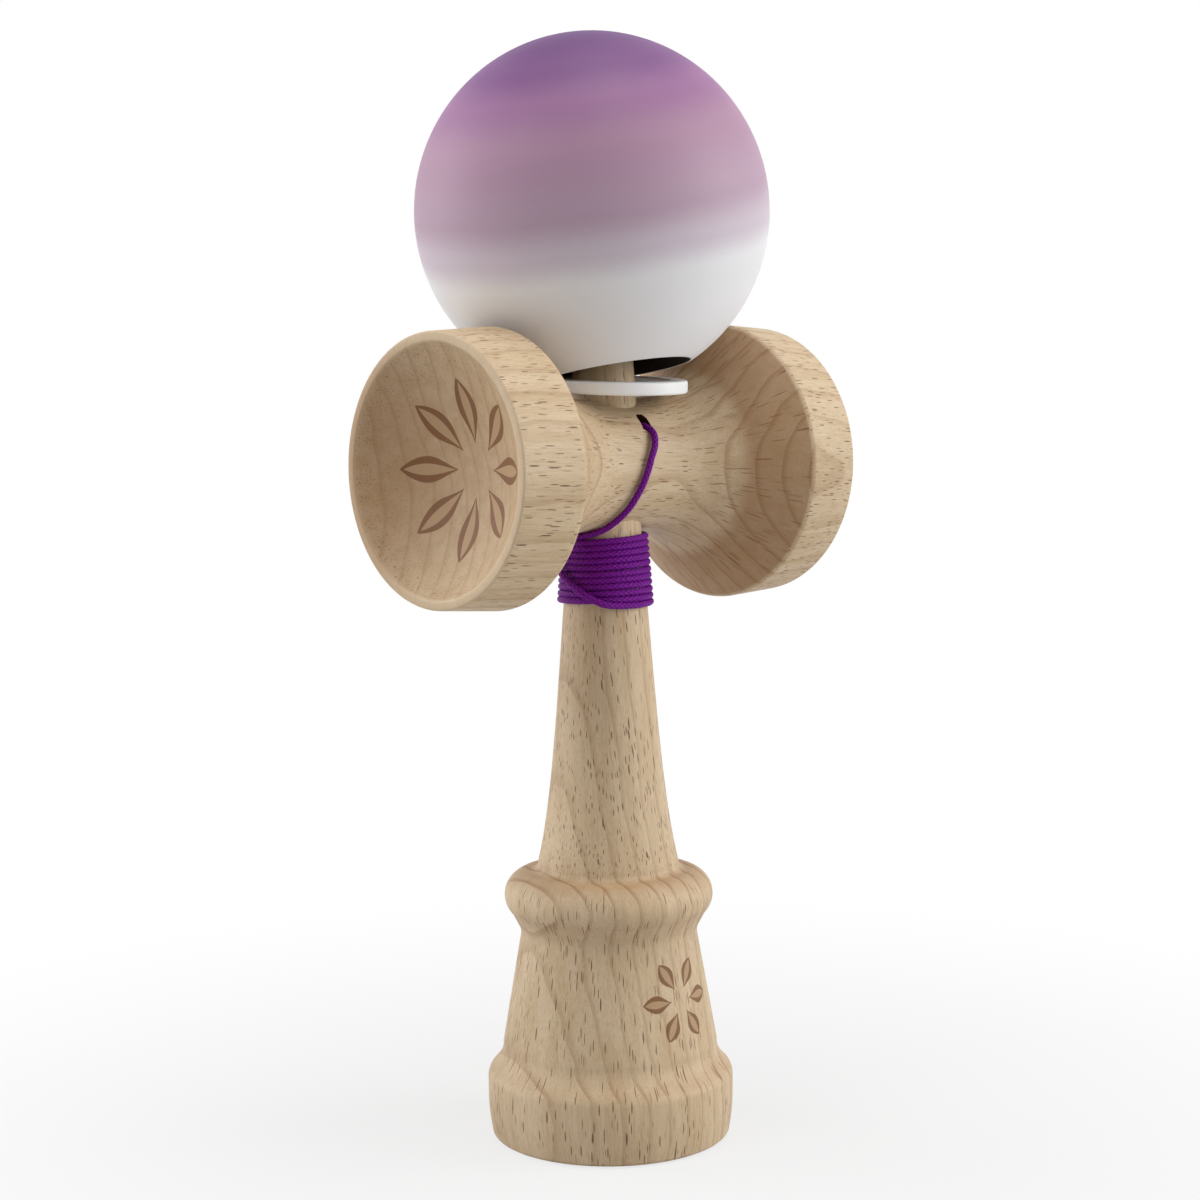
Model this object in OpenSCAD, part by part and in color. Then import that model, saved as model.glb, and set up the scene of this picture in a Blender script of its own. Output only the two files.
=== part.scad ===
// Kendama: a turned ken with a spike and a cup in its base, a double-cupped cross-piece (sarado)
// on its seat, a painted ball (tama) leaning on the spike, a loose ring under the ball,
// and one string from the ken, wound round the handle, up to the ball.
// Millimetres. +Z runs up the ken, the origin is the middle of the base rim,
// and the sarado lies along X with its small cup towards -X.

/* [Ken] */
// Length of the ken from the base rim to the tip of the spike
ken_h = 163; // [155:1:175]
// Largest radius of the base band
base_r = 21.4; // [20.8:0.1:22.5]
// How far the base band draws in at its foot
base_foot_in = 0.8; // [0.2:0.1:1.5]
// Height of the widest place of the base band
base_wide_z = 7.5; // [6:0.5:9]
// Rounding of the base band's shoulder
base_round = 2.6; // [1.5:0.1:3]
// Rounding of the edge that the ken stands on
foot_round = 0.8; // [0.3:0.1:1.2]
// Mouth radius of the cup in the base
base_cup_r = 17.4; // [15:0.1:18]
// Depth of the cup in the base
base_cup_depth = 8.5; // [5:0.5:11]
// Radius at the foot of the cone above the base band
cone_foot_r = 18.65; // [18:0.05:19.2]
// Height of the foot of the cone
cone_foot_z = 16.2; // [15.4:0.1:18]
// Height over which the shoulder bends into the foot of the cone
shoulder_bend_h = 2.1; // [1.8:0.1:2.4]
// Radius at the top of the cone, under the bead
cone_top_r = 15.2; // [14.2:0.1:15.8]
// Height of the top of the cone
cone_top_z = 36; // [34:0.5:37]
// Largest radius of the bead
bead_r = 18.1; // [17.4:0.1:19]
// Height of the middle of the bead
bead_z = 42.1; // [41:0.1:43]
// Rounding of the bead's nose
bead_round = 4.2; // [3.6:0.1:4.4]
// Radius of the handle where it leaves the bead
handle_foot_r = 12.2; // [11.4:0.1:12.8]
// Height where the handle leaves the bead
handle_foot_z = 47.8; // [47.4:0.1:50]
// Radius of the neck at the top of the handle
neck_r = 6.38; // [6:0.02:6.8]
// Depth of the neck below the middle of the sarado
neck_down_h = 12.4; // [11.5:0.1:14]
// Radius that the upper handle loses on each millimetre of height
handle_taper = 0.0727; // [0.06:0.001:0.08]
// Height over which the foot of the handle flares
handle_flare_len = 10.5; // [8:0.5:13]
// Radius that the seat of the sarado loses on each millimetre of height
seat_taper = 0.0354; // [0.025:0.0005:0.045]
// Height above the middle of the sarado where the seat ends and the spike begins
seat_up_h = 13.6; // [12:0.1:15]
// Height of the spike's tip above the middle of the sarado
spike_h = 46.6; // [45:0.1:49]
// Radius of the rounded tip of the spike
spike_tip_r = 3.4; // [2.6:0.1:4]

/* [Sarado] */
// Half of the sarado's length
sarado_half = 37.8; // [36.5:0.1:39]
// Radius of the waist
waist_r = 11.2; // [10.9:0.1:11.3]
// Half of the straight length of the waist
waist_flat = 5.2; // [4.4:0.1:6]
// Slope of the cups' backs
flare_angle = 45; // [42:0.5:48]
// Outer radius of the small cup at its mouth
small_rim_r = 22.4; // [21.6:0.1:23]
// Radius of the small cup's back edge
small_back_r = 23.26; // [22.6:0.02:23.8]
// Distance of the small cup's back edge from the middle
small_back_x = 25.6; // [24.8:0.1:26.2]
// Mouth radius of the small cup's bowl
small_bowl_r = 20.9; // [19.5:0.1:21.1]
// Depth of the small cup's bowl
small_bowl_depth = 9.5; // [7:0.5:11]
// Outer radius of the big cup at its mouth
big_rim_r = 23.8; // [23.2:0.1:24.6]
// Radius of the big cup's back edge
big_back_r = 24.4; // [23.8:0.1:25.2]
// Distance of the big cup's back edge from the middle
big_back_x = 26.9; // [26.2:0.1:27.6]
// Mouth radius of the big cup's bowl
big_bowl_r = 22.2; // [20.5:0.1:22.4]
// Depth of the big cup's bowl
big_bowl_depth = 10; // [7:0.5:11]
// Rounding of the cups' rims
rim_round = 0.7; // [0.3:0.1:0.9]
// Gap all round between the seat and the sarado's tapered hole
seat_gap = 0.02; // [0.01:0.01:0.05]

/* [Tama] */
// Radius of the ball
tama_r = 30.2; // [29.8:0.1:30.6]
// Distance of the ball's centre from the ken's axis, towards the small cup
tama_x = 0.2; // [0:0.05:0.8]
// Distance of the ball's centre from the ken's axis, towards the back
tama_y = 2.1; // [1.9:0.1:2.4]
// Lean of the ball's hole from upright
tama_lean = 9.8; // [9:0.1:10.5]
// Direction of the lean, turned from +X
tama_lean_dir = 105; // [98:1:112]
// Gap between the ball and the small cup's back edge
tama_gap = 0.4; // [0.3:0.05:0.8]
// Least height of the hole's mouth above the top of the ring
ring_room_h = 1.35; // [1.3:0.05:1.8]
// Least height from the tip of the spike to where the hole starts to close
spike_room_h = 1.5; // [1:0.1:2]
// Radius of the hole's bevelled mouth
tama_mouth_r = 13.2; // [13:0.1:13.8]
// Radius of the hole for the spike
tama_bore_r = 10.8; // [10.4:0.1:11.2]
// Height above the ball's centre where the hole starts to close
tama_bore_top = 6; // [5:0.5:7]
// Height above the ball's centre where the hole ends
tama_bore_end = 13; // [12.5:0.5:15]
// Radius of the hole's end, where the bead sits
bead_seat_r = 4.2; // [4:0.1:5]
// Radius of the string hole through the top of the ball
tama_string_hole_r = 1.5; // [1.3:0.1:1.8]
// Radius of the countersink of that hole
countersink_r = 3.6; // [3.2:0.1:4]
// Depth of the countersink
countersink_depth = 2.6; // [2.2:0.1:3]

/* [Ring] */
// Outer radius of the loose ring
ring_outer_r = 12; // [11.5:0.1:12.1]
// Inner radius of the loose ring
ring_inner_r = 8.7; // [8.6:0.1:9.2]
// Thickness of the loose ring
ring_t = 2.2; // [1.6:0.1:2.3]
// Rounding of the ring's edges
ring_round = 0.4; // [0.2:0.1:0.6]
// Distance of the ring's centre from the ken's axis, towards the big cup
ring_x = 0.8; // [0.4:0.1:1]
// Distance of the ring's centre from the ken's axis, towards the front
ring_y = 2.6; // [2.4:0.1:2.8]
// Tip of the ring, back edge up
ring_tip = 3.8; // [2:0.1:3.9]
// Roll of the ring, edge towards the big cup up
ring_roll = 1.1; // [0.5:0.1:2]
// Gap between the ring and the backs of the cups
ring_gap = 0.35; // [0.3:0.05:0.5]

/* [String] */
// Diameter of the cord
cord_d = 1.3; // [1:0.05:1.4]
// Height of the string hole above the middle of the sarado
string_hole_up = 7; // [6.4:0.1:7.3]
// Distance of the string hole from the ken's middle plane
string_hole_x = 1.5; // [0:0.1:2]
// Radius of the string hole through sarado and ken
string_hole_r = 1; // [0.9:0.05:1.3]
// Radius of the knots
knot_r = 1.5; // [1.3:0.05:1.7]
// Gap round the knot in its pocket in the ken
knot_gap = 0.2; // [0.1:0.05:0.4]
// Outer radius of the bead in the ball
string_bead_r = 3.6; // [3:0.1:3.8]
// Height of the bead
string_bead_h = 5; // [4:0.5:5.5]
// Gap between the bead and the end of the ball's hole
string_bead_gap = 0.3; // [0.2:0.05:0.5]
// Turns wound round the handle
wind_turns = 10.8; // [8:0.1:12]
// Height of the first turn above the neck
wind_top_h = 0.7; // [0:0.1:0.9]
// Rise from turn to turn
wind_pitch = 1.15; // [1.1:0.01:1.25]
// Gap kept between neighbouring turns
wind_gap = 0.45; // [0.42:0.01:0.5]
// Gap between the winding and the handle
wind_seat_gap = 0.1; // [0.05:0.01:0.2]
// How far the first turn leans up on its right side
wind_lean = 0.3; // [0:0.05:0.4]

/* [Hidden] */
$fn = 96;

wood = "burlywood";
cord_colour = "purple";

// Segments in a rounded corner and in a bowl
corner_steps = 8;
bowl_steps = 16;
// Slices of the handle's curved taper
handle_steps = 22;
// Length by which a cutting shape stands proud of what it cuts
proud = 2;

// Heights that follow from the length of the ken
sarado_z = ken_h - spike_h;
neck_z = sarado_z - neck_down_h;
spike_z = sarado_z + seat_up_h;
wind_top_z = neck_z + wind_top_h;

// Points of an arc in the plane of a profile, from one angle to another
function arc(centre, r, from, to, steps) =
    [for (i = [0:steps]) let (a = from + (to - from) * i / steps) centre + r * [cos(a), sin(a)]];

// Points of a bend from a to c that starts and ends pointing at b
function bend(a, b, c, steps) =
    [for (i = [0:steps]) let (t = i / steps) (1 - t) * (1 - t) * a + 2 * t * (1 - t) * b + t * t * c];

function reversed(list) = [for (i = [len(list) - 1:-1:0]) list[i]];

// Radius of the sphere that makes a bowl of a given mouth and depth
function bowl_sphere_r(mouth_r, depth) = (mouth_r * mouth_r + depth * depth) / (2 * depth);

// Profile of a bowl from its axis to its mouth, in a plane where +Y points out of the mouth
function bowl_profile(mouth_r, depth, mouth_y) =
    let (r = bowl_sphere_r(mouth_r, depth))
    arc([0, mouth_y - depth + r], r, -90, asin(mouth_r / r) - 90, bowl_steps);

// Handle radius at a height: a straight taper with a flared foot
handle_flare = handle_foot_r - neck_r - handle_taper * (neck_z - handle_foot_z);
function handle_radius(z) =
    neck_r + handle_taper * (neck_z - z) + handle_flare * exp((handle_foot_z - z) / handle_flare_len);
function seat_radius(z) = neck_r - seat_taper * (z - neck_z);
function ken_radius(z) = z < neck_z ? handle_radius(z) : seat_radius(z);
function base_radius(z) = base_r - base_foot_in * pow((base_wide_z - z) / base_wide_z, 2);

// Base shoulder and bead: where their arcs end and the bends into the cone and handle begin
shoulder_centre = [base_r - base_round, base_wide_z + base_round];
shoulder_end = shoulder_centre + base_round * [cos(45), sin(45)];
shoulder_aim_z = cone_foot_z - shoulder_bend_h;
shoulder_aim = [shoulder_end[0] + shoulder_end[1] - shoulder_aim_z, shoulder_aim_z];
bead_centre = [bead_r - bead_round, bead_z];
bead_top = bead_centre + [0, bead_round];

ken_profile = concat(
    [for (p = bowl_profile(base_cup_r, base_cup_depth, 0)) [p[0], -p[1]]],
    arc([base_radius(foot_round) - foot_round, foot_round], foot_round, -90, 0, corner_steps),
    [for (i = [1:corner_steps])
        let (z = foot_round + (base_wide_z - foot_round) * i / corner_steps) [base_radius(z), z]],
    arc(shoulder_centre, base_round, 0, 45, corner_steps),
    bend(shoulder_end, shoulder_aim, [cone_foot_r, cone_foot_z], corner_steps),
    [[cone_top_r, cone_top_z]],
    arc(bead_centre, bead_round, -45, 90, 2 * corner_steps),
    bend(bead_top, [handle_foot_r, bead_top[1]], [handle_foot_r, handle_foot_z], corner_steps),
    [for (i = [1:handle_steps])
        let (z = handle_foot_z + (neck_z - handle_foot_z) * i / handle_steps) [handle_radius(z), z]],
    [[seat_radius(spike_z), spike_z]],
    arc([0, ken_h - spike_tip_r], spike_tip_r, 0, 90, corner_steps)
);

// Back of a cup: straight slope from the back edge, then an arc into the waist
function flare_arc_r(back_r, back_x) =
    (tan(flare_angle) * (back_x - waist_flat) - (back_r - waist_r)) / (1 / cos(flare_angle) - 1);
function flare_radius(x, back_r, back_x) =
    let (r = flare_arc_r(back_r, back_x), on_arc = x - waist_flat)
    on_arc <= 0 ? waist_r :
    on_arc < r * sin(flare_angle) ? waist_r + r - sqrt(r * r - on_arc * on_arc) :
    back_r - tan(flare_angle) * (back_x - x);

// Half of the sarado's profile, from the axis in the bowl to the waist
function cup_profile(rim_r, back_r, back_x, bowl_r, bowl_depth) =
    let (r = flare_arc_r(back_r, back_x))
    concat(
        bowl_profile(bowl_r, bowl_depth, sarado_half),
        reversed(arc([rim_r - rim_round, sarado_half - rim_round], rim_round, 0, 90, corner_steps)),
        [[back_r, back_x]],
        arc([waist_r + r, waist_flat], r, 180 - flare_angle, 180, 2 * corner_steps)
    );
small_cup = cup_profile(small_rim_r, small_back_r, small_back_x, small_bowl_r, small_bowl_depth);
big_cup = cup_profile(big_rim_r, big_back_r, big_back_x, big_bowl_r, big_bowl_depth);

// Places of the bead and the knot along the ball's own axis, from the ball's centre
string_bead_top = tama_bore_end - string_bead_gap;
stopper_z = string_bead_top - string_bead_h - knot_r;

// The ring lies on the backs of both cups
function cup_top(x, back_r, back_x) =
    sarado_z + sqrt(pow(flare_radius(x, back_r, back_x), 2) - ring_y * ring_y);
ring_reach = ring_outer_r * sin(ring_roll);
ring_z = ring_gap + max(
    cup_top(ring_outer_r + ring_x, big_back_r, big_back_x) - ring_reach,
    cup_top(ring_outer_r - ring_x, small_back_r, small_back_x) + ring_reach
);

// The ball's hole leans over the ring, whose back edge stands in its bevelled mouth,
// and the ball rests on the small cup's back edge, the ring or the spike,
// whichever holds it highest
mouth_z = -sqrt(tama_r * tama_r - tama_mouth_r * tama_mouth_r);
tama_over_cup_r = small_back_r + sqrt(pow(tama_r + tama_gap, 2) - pow(small_back_x - tama_x, 2));
tama_on_cup_z = sarado_z + sqrt(pow(tama_over_cup_r, 2) - tama_y * tama_y);
tama_on_ring_z = ring_z + ring_t + ring_room_h - mouth_z * cos(tama_lean);
tama_on_spike_z = ken_h + spike_room_h - tama_bore_top;
tama_centre = [-tama_x, tama_y, max(tama_on_cup_z, tama_on_ring_z, tama_on_spike_z)];

// String hole: drilled level from the front, through the sarado's wall and the ken, to the knot's pocket
string_hole_z = sarado_z + string_hole_up;
string_mouth_y = -sqrt(waist_r * waist_r - string_hole_up * string_hole_up);
ken_side_y = sqrt(pow(seat_radius(string_hole_z), 2) - string_hole_x * string_hole_x);
knot_y = ken_side_y - knot_r - knot_gap;

// Winding: turns that run clockwise down the handle, each one a helix on the taper
cord_r = cord_d / 2;
wind_r = (wind_pitch - wind_gap) / 2;
rings_per_turn = 24;
wind_start_angle = 190;
wind_lean_angle = -43;
wind_rings = round(wind_turns * rings_per_turn);
function wind_point(i) =
    let (
        turn = i / rings_per_turn,
        angle = wind_start_angle - 360 * turn,
        z = wind_top_z - wind_pitch * turn
            + wind_lean * (1 - turn / wind_turns) * cos(angle - wind_lean_angle),
        r = ken_radius(z) + wind_seat_gap + wind_r
    )
    [r * cos(angle), r * sin(angle), z];
wind_turn_points = [for (i = [0:wind_rings]) wind_point(i)];
wind_first_way = unit(wind_turn_points[1] - wind_turn_points[0]);
wind_last_way = unit(wind_turn_points[wind_rings] - wind_turn_points[wind_rings - 1]);
wind_start = wind_turn_points[0] - 2 * wind_r * wind_first_way;
wind_end = wind_turn_points[wind_rings] + 2 * wind_r * wind_last_way;
wind_points = concat([wind_start], wind_turn_points, [wind_end]);

// Least gap of the winding to itself, from half a turn away to one and a half
wind_least_gap = min([
    for (i = [0:wind_rings], j = [i + rings_per_turn / 2:i + 1.5 * rings_per_turn])
        if (j <= wind_rings) norm(wind_turn_points[i] - wind_turn_points[j]) - 2 * wind_r
]);
echo(winding_least_gap_mm = wind_least_gap);

// Lifts a list of points by a height
function raised(points, h) = [for (p = points) p + [0, 0, h]];

// Front run: out of the string hole, down the front of the waist, to the first turn,
// with heights from the middle of the sarado
front_run_points = concat(
    [[string_hole_x, string_mouth_y, string_hole_z]],
    raised([
        [1.45, -9.9, 6.85], [1.3, -10.95, 6], [1, -11.5, 4.7], [0.5, -11.75, 3.1], [-0.2, -11.95, 1.6],
        [-0.85, -12, 0], [-1.5, -11.9, -1.6], [-2.15, -11.55, -3.3], [-2.8, -10.95, -4.95],
        [-3.45, -9.95, -6.75], [-4.2, -8.6, -8.4], [-5, -6.8, -9.9], [-5.9, -4.9, -11]
    ], sarado_z),
    [wind_start - 2 * wind_r * wind_first_way, wind_start]
);

// Directions in which the string leads over the back of the ball, from the ball's centre
over_tama_gap = 0.5;
over_tama = [
    [0.1, 27.1, -15.4], [0.1, 29.3, -10.7], [0, 30.7, -5.4], [-0.1, 31.2, 0], [-0.2, 30.8, 4.9],
    [-0.4, 29.7, 9.6], [-0.6, 27.8, 14.2], [-0.8, 25.2, 18.3], [-1, 22.1, 22.1], [-1.1, 18.4, 25.2],
    [-1.2, 14.6, 27.6]
];
// The string's way into the ball: distance behind the hole's axis, height along it from the ball's centre
tama_axis = [
    sin(tama_lean) * cos(tama_lean_dir), sin(tama_lean) * sin(tama_lean_dir), cos(tama_lean)
];
tama_behind = across([0, 1, 0], tama_axis);
into_tama = [
    for (p = [[6.2, 0.75], [4.6, 0.9], [3.4, 0.8], [2.3, 0.35], [1.5, -0.35], [1, -1.25], [0.6, -2.2], [0.2, -3.3]])
        [p[0], tama_r + p[1]]
];

// Back run: over the last turns and up behind the waist, with heights from the middle of the sarado,
// then over the back of the ball and over the countersink's lip into its string hole
back_run_points = concat(
    [wind_end, wind_end + 2 * wind_r * wind_last_way],
    raised([
        [-5.9, -6.4, -23.7], [-7.4, -5, -22.8], [-8.5, -3, -21.4], [-8.9, -0.4, -19.6],
        [-8.5, 2.4, -17.6], [-7.2, 5.2, -15.2], [-5.6, 7.6, -12.6], [-4, 9.6, -9.6], [-2.6, 11, -6.2],
        [-1.6, 11.9, -2.4], [-1.2, 12.8, 1.6], [-0.9, 15.4, 6], [-0.8, 18.2, 10.4], [-0.6, 21, 14.8],
        [-0.5, 23.8, 19.2], [-0.4, 26.6, 23.6]
    ], sarado_z),
    [for (p = over_tama) tama_centre + (tama_r + cord_r + over_tama_gap) * unit(p)],
    [for (p = into_tama) tama_centre + p[0] * tama_behind + p[1] * tama_axis]
);

function unit(v) = v / norm(v);
function way(path, i) =
    unit(path[min(i + 1, len(path) - 1)] - path[max(i - 1, 0)]);
function across(v, along) = unit(v - along * (v * along));
// One side direction for each point, carried along the path without twist
function sides_of(path) = [
    for (i = 0, side = across([0.3, 0.2, 1], way(path, 0));
         i < len(path);
         i = i + 1, side = across(side, way(path, min(i, len(path) - 1))))
        side
];

// Tube along a path, with its radius at the first point, between, and at the last point
module tube(path, sides, first_r, r, last_r) {
    side = sides_of(path);
    last = len(path) - 1;
    points = [
        for (i = [0:last], k = [0:sides - 1])
            let (
                along = way(path, i),
                ring_r = i == 0 ? first_r : i == last ? last_r : r,
                a = 360 * k / sides
            )
            path[i] + ring_r * (cos(a) * side[i] + sin(a) * cross(along, side[i]))
    ];
    walls = [
        for (i = [0:last - 1], k = [0:sides - 1])
            let (a = i * sides + k, b = i * sides + (k + 1) % sides)
            each [[a, a + sides, b], [b, a + sides, b + sides]]
    ];
    first_cap = [for (k = [1:sides - 2]) [0, k, k + 1]];
    last_cap = [for (k = [1:sides - 2]) [last * sides, last * sides + k + 1, last * sides + k]];
    polyhedron(points, concat(walls, first_cap, last_cap));
}

// Puts what is drawn round the ball's own axis at the ball's place and lean
module on_tama() {
    translate(tama_centre)
        rotate([0, 0, tama_lean_dir])
            rotate([0, tama_lean, 0])
                rotate([0, 0, -tama_lean_dir])
                    children();
}

// A level hole along Y at the string hole's place
module level_hole(r, from_y, to_y) {
    translate([string_hole_x, from_y, string_hole_z])
        rotate([-90, 0, 0])
            cylinder(h = to_y - from_y, r = r);
}

module ken() {
    color(wood)
        difference() {
            rotate_extrude() polygon(ken_profile);
            level_hole(string_hole_r, -neck_r - proud, neck_r + proud);
            level_hole(knot_r + knot_gap, knot_y - knot_r, neck_r + proud);
        }
}

module sarado() {
    bore_foot_z = sarado_z - big_back_r;
    bore_top_z = sarado_z + big_back_r;
    color(wood)
        difference() {
            translate([0, 0, sarado_z])
                rotate([0, 90, 0])
                    rotate_extrude()
                        polygon(concat(big_cup, reversed([for (p = small_cup) [p[0], -p[1]]])));
            translate([0, 0, bore_foot_z])
                cylinder(
                    h = bore_top_z - bore_foot_z,
                    r1 = seat_radius(bore_foot_z) + seat_gap,
                    r2 = seat_radius(bore_top_z) + seat_gap
                );
            level_hole(string_hole_r, -waist_r - proud, 0);
        }
}

module tama() {
    color("thistle")
        on_tama()
            difference() {
                sphere(tama_r);
                translate([0, 0, -tama_r - proud])
                    cylinder(h = tama_r + proud + tama_bore_top, r = tama_bore_r);
                translate([0, 0, mouth_z - proud])
                    cylinder(
                        h = tama_mouth_r - tama_bore_r + proud,
                        r1 = tama_mouth_r + proud,
                        r2 = tama_bore_r
                    );
                translate([0, 0, tama_bore_top])
                    cylinder(h = tama_bore_end - tama_bore_top, r1 = tama_bore_r, r2 = bead_seat_r);
                cylinder(h = tama_r + proud, r = tama_string_hole_r);
                translate([0, 0, tama_r - countersink_depth])
                    cylinder(
                        h = 2 * countersink_depth,
                        r1 = tama_string_hole_r,
                        r2 = 2 * countersink_r - tama_string_hole_r
                    );
            }
}

module ring() {
    rounded = [for (corner = [0:3])
        let (
            r = corner == 0 || corner == 3 ? ring_outer_r - ring_round : ring_inner_r + ring_round,
            z = corner < 2 ? ring_t - ring_round : ring_round
        )
        each arc([r, z], ring_round, 90 * corner, 90 * corner + 90, corner_steps)];
    color("white")
        translate([ring_x, -ring_y, ring_z])
            rotate([ring_tip, -ring_roll, 0])
                rotate_extrude() polygon(rounded);
}

module tama_bead() {
    foot_z = string_bead_top - string_bead_h;
    bead_edge = string_bead_h / 4;
    profile = concat(
        [[string_hole_r, 0]],
        arc([string_bead_r - bead_edge, bead_edge], bead_edge, -90, 0, corner_steps),
        arc([string_bead_r - bead_edge, string_bead_h - bead_edge], bead_edge, 0, 90, corner_steps),
        [[string_hole_r, string_bead_h]]
    );
    color("lavender")
        on_tama()
            translate([0, 0, foot_z])
                rotate_extrude() polygon(profile);
}

module string_anchor_knot() {
    color(cord_colour) {
        level_hole(cord_r, string_mouth_y, knot_y);
        translate([string_hole_x, knot_y, string_hole_z]) sphere(knot_r);
    }
}

module string_front_run() {
    color(cord_colour) tube(front_run_points, 8, cord_r, cord_r, wind_r);
}

module string_winding() {
    color(cord_colour) tube(wind_points, 6, wind_r, wind_r, wind_r);
}

module string_back_run() {
    color(cord_colour) tube(back_run_points, 8, wind_r, cord_r, cord_r);
}

module string_stopper_knot() {
    top_z = tama_r - countersink_depth - cord_d;
    color(cord_colour)
        on_tama() {
            translate([0, 0, stopper_z]) cylinder(h = top_z - stopper_z, r = cord_r);
            translate([0, 0, stopper_z]) sphere(knot_r);
        }
}

ken();
sarado();
tama();
ring();
tama_bead();
string_anchor_knot();
string_front_run();
string_winding();
string_back_run();
string_stopper_knot();
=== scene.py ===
"""Kendama: turned beech ken and sarado, sprayed ball on the spike, loose ring and wound string."""
import math
import random

import bmesh
import bpy
from mathutils import Matrix, Vector


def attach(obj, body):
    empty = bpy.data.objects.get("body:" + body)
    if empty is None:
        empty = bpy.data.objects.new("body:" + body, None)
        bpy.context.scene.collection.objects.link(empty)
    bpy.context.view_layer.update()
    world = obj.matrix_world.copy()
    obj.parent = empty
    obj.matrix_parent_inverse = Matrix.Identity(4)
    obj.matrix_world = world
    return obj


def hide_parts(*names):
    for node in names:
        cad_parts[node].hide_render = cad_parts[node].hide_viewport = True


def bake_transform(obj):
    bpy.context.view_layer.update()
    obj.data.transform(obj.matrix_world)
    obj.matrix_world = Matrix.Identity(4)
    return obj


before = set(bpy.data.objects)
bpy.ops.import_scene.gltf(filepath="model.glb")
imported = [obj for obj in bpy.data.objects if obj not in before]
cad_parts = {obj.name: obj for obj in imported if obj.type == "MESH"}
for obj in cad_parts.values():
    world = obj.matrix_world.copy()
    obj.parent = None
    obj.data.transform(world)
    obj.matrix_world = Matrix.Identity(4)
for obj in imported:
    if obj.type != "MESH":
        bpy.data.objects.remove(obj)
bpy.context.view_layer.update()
MM = 0.001
scene = bpy.context.scene


# Camera at the photograph's viewing angle, in millimetres and degrees

CAMERA_AZIMUTH = -43.34
CAMERA_DISTANCE = 383.1
CAMERA_HEIGHT = 127.2
CAMERA_PITCH = 5.07
CAMERA_YAW = 0.14
CAMERA_ROLL = -0.64
CAMERA_LENS = 66.98
CAMERA_SENSOR = 36.0


def make_camera():
    stand = math.radians(CAMERA_AZIMUTH)
    aim = math.radians(CAMERA_AZIMUTH + CAMERA_YAW)
    pitch = math.radians(CAMERA_PITCH)
    roll = math.radians(CAMERA_ROLL)
    ahead = Vector((-math.sin(aim) * math.cos(pitch), math.cos(aim) * math.cos(pitch), -math.sin(pitch)))
    level = Vector((math.cos(aim), math.sin(aim), 0))
    upward = level.cross(ahead)
    right = level * math.cos(roll) + upward * math.sin(roll)
    top = upward * math.cos(roll) - level * math.sin(roll)
    data = bpy.data.cameras.new("camera")
    data.lens = CAMERA_LENS
    data.sensor_width = CAMERA_SENSOR
    data.clip_start = 0.01
    data.clip_end = 50
    obj = bpy.data.objects.new("camera", data)
    scene.collection.objects.link(obj)
    place = Vector((math.sin(stand) * CAMERA_DISTANCE, -math.cos(stand) * CAMERA_DISTANCE, CAMERA_HEIGHT))
    turn = Matrix((right, top, -ahead)).transposed().to_4x4()
    obj.matrix_world = Matrix.Translation(place * MM) @ turn
    scene.camera = obj


make_camera()


# Sizes in millimetres, the same as the solids' apart from softer rims and the ball's mouth

KEN_H = 163.0
SARADO_Z = 116.4
SARADO_HALF = 37.8
NECK_R, NECK_Z = 6.38, 104.0
HANDLE_FOOT_R, HANDLE_FOOT_Z = 12.2, 47.8
HANDLE_TAPER = 0.0727
HANDLE_FLARE_LEN = 10.5
SEAT_TAPER = 0.0354
SPIKE_Z, SPIKE_TIP_R = 130.0, 3.4
WAIST_R, WAIST_FLAT = 11.2, 5.2
CUP_SLOPE = math.radians(45)
CUP_LIP, RIM_ROUND = 0.3, 0.4
TAMA_R, TAMA_MOUTH_R = 30.2, 12.8
TAMA_CENTRE = Vector((-0.2, 2.1, 159.225))
TAMA_LEAN, TAMA_LEAN_DIR = math.radians(9.8), math.radians(105)
TAMA_AXIS = Vector((
    math.sin(TAMA_LEAN) * math.cos(TAMA_LEAN_DIR),
    math.sin(TAMA_LEAN) * math.sin(TAMA_LEAN_DIR),
    math.cos(TAMA_LEAN),
))
STRING_HOLE_X, STRING_HOLE_Z = 1.5, 123.4


def arc(cx, cy, r, start, stop, steps):
    """Points of an arc in a profile's plane, from one angle to another in degrees."""
    out = []
    for i in range(steps + 1):
        a = math.radians(start + (stop - start) * i / steps)
        out.append((cx + r * math.cos(a), cy + r * math.sin(a)))
    return out


def bend(a, b, c, steps):
    """Points of a bend from a to c that starts and ends pointing at b."""
    out = []
    for i in range(steps + 1):
        t = i / steps
        out.append(tuple((1 - t) ** 2 * p + 2 * t * (1 - t) * q + t * t * s for p, q, s in zip(a, b, c)))
    return out


def handle_radius(z):
    flare = HANDLE_FOOT_R - NECK_R - HANDLE_TAPER * (NECK_Z - HANDLE_FOOT_Z)
    return NECK_R + HANDLE_TAPER * (NECK_Z - z) + flare * math.exp((HANDLE_FOOT_Z - z) / HANDLE_FLARE_LEN)


def ken_radius(z):
    return handle_radius(z) if z < NECK_Z else NECK_R - SEAT_TAPER * (z - NECK_Z)


def bowl(mouth_r, depth, mouth_y, lip):
    """Profile of a bowl from its axis to its softened lip; the mouth opens towards +y."""
    r = (mouth_r ** 2 + depth ** 2) / (2 * depth)
    reach = math.degrees(math.asin((mouth_r - lip) / r))
    out = arc(0, mouth_y - depth + r, r, -90, reach - 90, 28)
    aim = (mouth_r - lip * 0.25, mouth_y - lip * 0.15)
    return out + bend(out[-1], aim, (mouth_r + lip * 0.5, mouth_y), 5)[1:]


def between(a, b, share):
    """The point at a share of the way from a to b."""
    return tuple(p + (q - p) * share for p, q in zip(a, b))


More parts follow.
